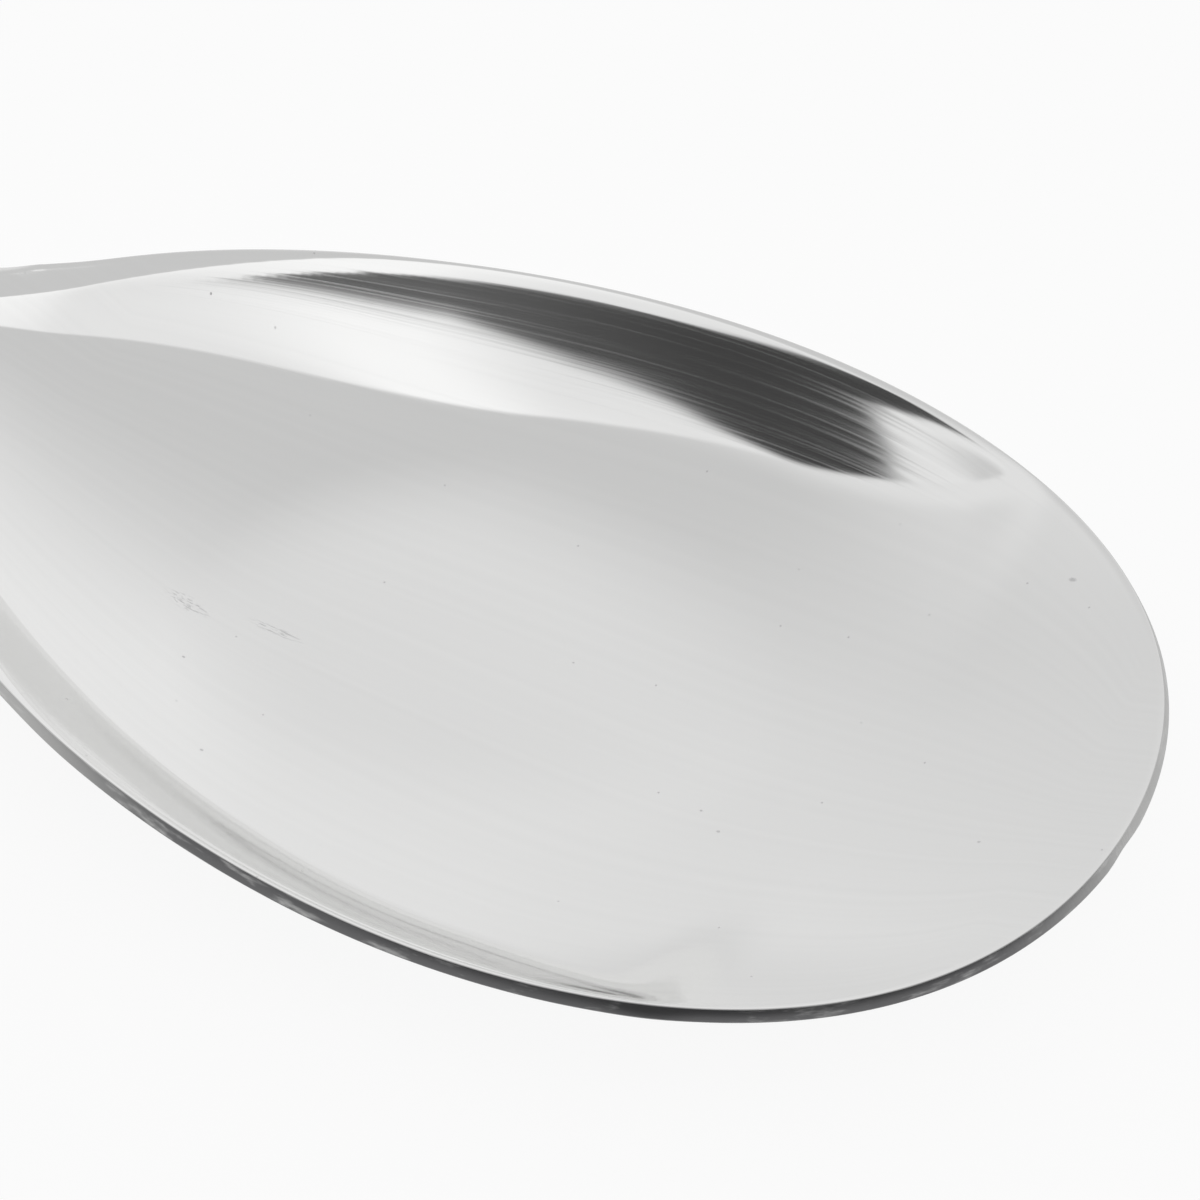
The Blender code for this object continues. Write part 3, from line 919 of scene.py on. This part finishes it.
def cut_edge_shade_and_nicks(tree, place):
    """The cut edge: painted shade, dark at the near side and lighter towards the neck and the far
    side, with bright nicks.
    """
    drawn = vector_node(tree, "MULTIPLY", attribute(tree, "edge_place", "Vector"), NICK_STRETCH)
    nicks = noise(tree, drawn, NICK_FINENESS, detail=4.0, Roughness=0.6)
    spot = tree.nodes.new("ShaderNodeSeparateXYZ")
    tree.links.new(place, spot.inputs[0])
    # Painted shade: darker at the near side, lighter towards the neck and the far side
    along = between(tree, spot.outputs["X"], *EDGE_SHADE_ALONG)
    across = between(tree, spot.outputs["Y"], *EDGE_SHADE_ACROSS)
    edge = mix_colour(tree, math_node(tree, "MAXIMUM", along, across), *CUT_SHADE_TONES)
    return mix_colour(tree, between(tree, nicks, *NICK_SPREAD, *NICK_COVER), edge, NICK_TONE)


def sheet_material(marks, scuffs):
    """Stainless sheet polished along its length, dull where cut, with painted shade on the cut edge
    and a few scuffs from use.
    """
    material, tree, shader = new_material("polished_sheet")
    place = object_place(tree)
    brushed = attribute(tree, "brush_place", "Vector")
    polish = {"Place": brushed, "Stretch": SHEET_STRETCH, "Fineness": SHEET_FINENESS}
    grain = use_group(tree, marks, polish)
    lines, streaks, waves = (grain.outputs[name] for name in ("Lines", "Streaks", "Waves"))
    cut = attribute(tree, "cut_edge")
    worn = wear(tree, place, scuffs)
    tone = mix_colour(tree, streaks, *SHEET_TONES)
    tone = mix_colour(tree, worn, tone, WORN_TONE)
    # The cut edge's colour, with its painted shade and its nicks
    edge = cut_edge_shade_and_nicks(tree, place)
    tree.links.new(mix_colour(tree, cut, tone, edge), shader.inputs["Base Color"])
    rough = between(tree, lines, *NOISE_SPREAD, *LINE_ROUGHNESS)
    deep = between(tree, lines, *DEEP_LINES, *DEEP_LINE_ROUGHNESS)
    rough = math_node(tree, "ADD", rough, deep)
    rough = math_node(tree, "MULTIPLY_ADD", worn, WORN_ROUGHNESS, rough)
    rough = math_node(tree, "MULTIPLY_ADD", cut, CUT_ROUGHNESS, rough)
    tree.links.new(rough, shader.inputs["Roughness"])
    normal = add_bump(tree, waves, WAVE_HEIGHT)
    normal = add_bump(tree, streaks, STREAK_HEIGHT, normal)
    normal = add_bump(tree, lines, LINE_HEIGHT, normal)
    tree.links.new(normal, shader.inputs["Normal"])
    shader.inputs["Metallic"].default_value = 1.0
    return material


def turned_material(name, marks, tone, rings):
    """Stainless turned on a lathe: fine rings about its own axis under a light polish."""
    material, tree, shader = new_material(name)
    place = object_place(tree)
    polish = {"Place": place, "Stretch": TURNED_STRETCH, "Fineness": TURNED_FINENESS}
    grain = use_group(tree, marks, polish)
    lines, streaks = grain.outputs["Lines"], grain.outputs["Streaks"]
    reach = attribute(tree, "head_reach")
    ring = math_node(tree, "SINE", math_node(tree, "MULTIPLY", reach, rings))
    light = tuple(TURNED_LIGHTER * part for part in tone)
    colour = mix_colour(tree, streaks, (*tone, 1), (*light, 1))
    tree.links.new(colour, shader.inputs["Base Color"])
    rough = between(tree, lines, *NOISE_SPREAD, *TURNED_ROUGHNESS)
    rough = math_node(tree, "MULTIPLY_ADD", ring, RING_ROUGHNESS, rough)
    tree.links.new(rough, shader.inputs["Roughness"])
    normal = add_bump(tree, ring, RING_HEIGHT)
    normal = add_bump(tree, lines, TURNED_LINE_HEIGHT, normal)
    tree.links.new(normal, shader.inputs["Normal"])
    shader.inputs["Metallic"].default_value = 1.0
    return material


def resin_material():
    """Black moulded resin: a fine grain, faint clouding and a sheen rubbed smoother in places."""
    material, tree, shader = new_material("black_resin")
    place = object_place(tree)
    cloud = noise(tree, place, CLOUD_SCALE, detail=4.0)
    grain = noise(tree, place, GRAIN_SCALE, detail=2.0)
    rubbed = noise(tree, place, RUBBED_SCALE, detail=3.0)
    colour = mix_colour(tree, between(tree, cloud, *NOISE_SPREAD), *RESIN_TONES)
    flecks = node(tree, "ShaderNodeTexVoronoi", {"Vector": place, "Scale": FLECK_SCALE})
    colour = mix_colour(tree, between(tree, flecks, *FLECK_SIZES), colour, FLECK_TONE)
    tree.links.new(colour, shader.inputs["Base Color"])
    rough = between(tree, rubbed, *NOISE_SPREAD, *RESIN_ROUGHNESS)
    rough = math_node(tree, "MULTIPLY_ADD", grain, GRAIN_ROUGHNESS, rough)
    tree.links.new(rough, shader.inputs["Roughness"])
    tree.links.new(add_bump(tree, grain, GRAIN_HEIGHT), shader.inputs["Normal"])
    return material


def floor_material():
    """A pale floor that camera and mirror rays see nearly white, with the shadow kept."""
    material, tree, shader = new_material("pale_floor")
    shader.inputs["Base Color"].default_value = FLOOR_TONE
    shader.inputs["Roughness"].default_value = FLOOR_ROUGHNESS
    sight = tree.nodes.new("ShaderNodeLightPath")
    camera_ray, glossy_ray = sight.outputs["Is Camera Ray"], sight.outputs["Is Glossy Ray"]
    seen = math_node(tree, "MAXIMUM", camera_ray, glossy_ray)
    seen = math_node(tree, "MAXIMUM", seen, sight.outputs["Is Transmission Ray"])
    share = math_node(tree, "MULTIPLY", seen, FLOOR_GLOW)
    glow = node(tree, "ShaderNodeEmission", {"Color": WHITE, "Strength": 1.0})
    both = node(tree, "ShaderNodeMixShader", {0: share, 1: shader.outputs[0], 2: glow})
    tree.links.new(both, tree.nodes["Material Output"].inputs["Surface"])
    return material


def photo_camera(toward):
    """The photograph's camera, which lies in a given direction from what it aims at."""
    camera_data = bpy.data.cameras.new("photo_camera")
    camera_data.lens = VIEW_LENS
    camera_data.clip_start = VIEW_NEAREST
    camera = bpy.data.objects.new("photo_camera", camera_data)
    bpy.context.scene.collection.objects.link(camera)
    camera.location = VIEW_AIM + toward * VIEW_DISTANCE
    camera.rotation_euler = toward.to_track_quat("Z", "Y").to_euler()
    return camera


def studio_world(toward):
    """Studio light, painted by direction: height over the spoon and swing to the side."""
    world = bpy.data.worlds.new("studio")
    world.use_nodes = True
    sky = world.node_tree
    direction = node(sky, "ShaderNodeTexCoord")
    away = Vector((-toward.x, -toward.y, 0)).normalized()
    sideways = Vector((away.y, -away.x, 0))
    upward = vector_node(sky, "DOT_PRODUCT", direction, (0, 0, 1), output="Value")
    backward = vector_node(sky, "DOT_PRODUCT", direction, away, output="Value")
    height = math_node(sky, "ARCTAN2", upward, backward)
    height = math_node(sky, "MULTIPLY", height, DEGREES)
    swing = vector_node(sky, "DOT_PRODUCT", direction, sideways, output="Value")
    swing = math_node(sky, "MULTIPLY", math_node(sky, "ARCSINE", swing), DEGREES)

    # A back wall and a dimmer ceiling
    level = between(sky, swing, *BACK_SWINGS, *BACK_LEVELS)
    dim = math_node(sky, "MULTIPLY", between(sky, swing, *HORIZON_SWINGS), HORIZON_DIM)
    level = math_node(sky, "MULTIPLY_ADD", between(sky, height, *HORIZON_HEIGHTS), dim, level)
    ceiling = between(sky, swing, *CEILING_SWINGS, *CEILING_LEVELS)
    level = blend(sky, between(sky, height, *CEILING_HEIGHTS), level, ceiling)

    # A soft box overhead, brightest in the middle
    off_middle = math_node(sky, "ABSOLUTE", math_node(sky, "SUBTRACT", swing, BOX_SWING))
    overhead = between(sky, height, *BOX_HEIGHTS)
    box = between(sky, off_middle, *BOX_SPREADS, *BOX_LEVELS)
    box = blend(sky, between(sky, swing, *BOX_END_SWINGS), box, BOX_END_LEVEL)
    level = blend(sky, overhead, level, box)

    # The dark room past the box's rounded corner, up to a light patch at the far side
    rise = squared_share(sky, excess(sky, height, FLAG_CORNER_HEIGHT), FLAG_ROUND_HEIGHT)
    reach = squared_share(sky, excess(sky, FLAG_CORNER_SWING, swing), FLAG_ROUND_SWING)
    corner = between(sky, math_node(sky, "ADD", rise, reach), *FLAG_SOFTNESS)
    flag = math_node(sky, "MULTIPLY", corner, overhead)
    below = excess(sky, FLAG_END_HEIGHT, height)
    end = math_node(sky, "MULTIPLY_ADD", below, -FLAG_END_SLANT, swing)
    flag = math_node(sky, "MULTIPLY", flag, between(sky, end, *FLAG_END_SWINGS))
    level = blend(sky, flag, level, between(sky, swing, *FLAG_LEVEL_SWINGS, *FLAG_LEVELS))

    # Light that comes by way of a second reflection is even, and the camera sees white past the
    # floor
    sight = sky.nodes.new("ShaderNodeLightPath")
    again = between(sky, sight.outputs["Glossy Depth"], *SECOND_BOUNCE_DEPTHS)
    level = blend(sky, again, level, SECOND_BOUNCE_LEVEL)
    level = blend(sky, sight.outputs["Is Camera Ray"], level, CAMERA_LEVEL)
    sky.links.new(level, sky.nodes["Background"].inputs["Strength"])
    sky.nodes["Background"].inputs["Color"].default_value = WHITE
    return world


# Finishes
marks = polishing_marks_group()
sheet_steel = sheet_material(marks, scuff_group())
rivet_steel = turned_material("turned_rivet_steel", marks, RIVET_TONE, RIVET_RINGS)
eyelet_steel = turned_material("rolled_eyelet_steel", marks, EYELET_TONE, EYELET_RINGS)
resin = resin_material()

# Bowl, neck and tang, then the grip scales
cutter = hole_cutter()
blank = drill(pressed_blank(), cutter)
soften(blank, SHEET_CREASE)
finish_piece(blank, sheet_steel, "steel_sheet", "spoon_blank")
for name, side, cad_node in (
    ("grip_scale_upper", 1, "upper_scale"),
    ("grip_scale_lower", -1, "lower_scale"),
):
    scale = drill(grip_scale(name, side), cutter)
    soften(scale, SCALE_CREASE)
    finish_piece(scale, resin, "grip_moulding", cad_node)
bpy.data.objects.remove(cutter, do_unlink=True)

# Rivets and the hanging eyelet
row_tree = rivet_row_tree()
for name, side, kind in (
    ("rivet_heads_upper", 1, "rivet_cup_"),
    ("rivet_heads_lower", -1, "rivet_pin_"),
):
    heads = rivet_row(name, side, row_tree, rivet_steel)
    soften(heads, TURNED_CREASE)
    cad_nodes = [kind + place for place in ("front", "middle", "rear")]
    finish_piece(heads, rivet_steel, "rivet_steel", *cad_nodes)
ring = eyelet()
soften(ring, TURNED_CREASE)
finish_piece(ring, eyelet_steel, "eyelet_steel", "hanging_eyelet")

# Floor
floor_mesh = bpy.data.meshes.new("studio_floor")
corners = [(x * FLOOR_REACH, y * FLOOR_REACH, 0) for x, y in ((-1, -1), (1, -1), (1, 1), (-1, 1))]
floor_mesh.from_pydata(corners, [], [(0, 1, 2, 3)])
floor_mesh.materials.append(floor_material())
add_piece("studio_floor", floor_mesh)

# Camera and light
toward_camera = Vector((
    math.sin(VIEW_AZIMUTH) * math.cos(VIEW_ELEVATION),
    -math.cos(VIEW_AZIMUTH) * math.cos(VIEW_ELEVATION),
    math.sin(VIEW_ELEVATION),
))
bpy.context.scene.camera = photo_camera(toward_camera)
bpy.context.scene.world = studio_world(toward_camera)
bpy.context.scene.view_settings.view_transform = "Standard"
